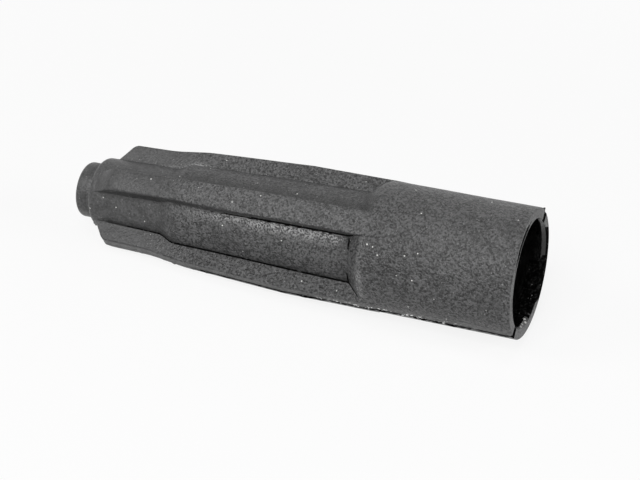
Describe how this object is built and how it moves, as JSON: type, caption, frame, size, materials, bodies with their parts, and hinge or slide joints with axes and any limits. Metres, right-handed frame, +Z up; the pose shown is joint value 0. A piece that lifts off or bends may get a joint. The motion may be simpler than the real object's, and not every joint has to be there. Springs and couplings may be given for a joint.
{
  "type": "spark plug cap",
  "caption": "Long ribbed rubber boot that slips over a spark plug, joins its terminal to an ignition cable and seals both.",
  "frame": {"origin": "centre of the bottom of the bounding box, on the surface that the cap lies on", "axes": "+X along the cap towards its mouth, +Z up; the cap lies on its sleeve and on two ribs, so its own axis rises 4.0 degrees from the cable end to the mouth"},
  "size_m": [0.097, 0.026, 0.0279],
  "materials": {
    "boot_rubber": "matte moulded rubber",
    "insulator_resin": "satin moulded resin",
    "contact_brass": "turned brass",
    "spring_steel": "drawn wire",
    "resistor_ceramic": "glazed ceramic"
  },
  "bodies": {
    "root": {"rubber_boot": "boot_rubber", "insulator_body": "insulator_resin", "plug_socket": "contact_brass", "snap_wire": "spring_steel", "resistor_rod": "resistor_ceramic", "resistor_cap_plug_end": "contact_brass", "resistor_cap_cable_end": "contact_brass", "contact_spring": "spring_steel", "cable_screw": "contact_brass"}
  },
  "joints": []
}
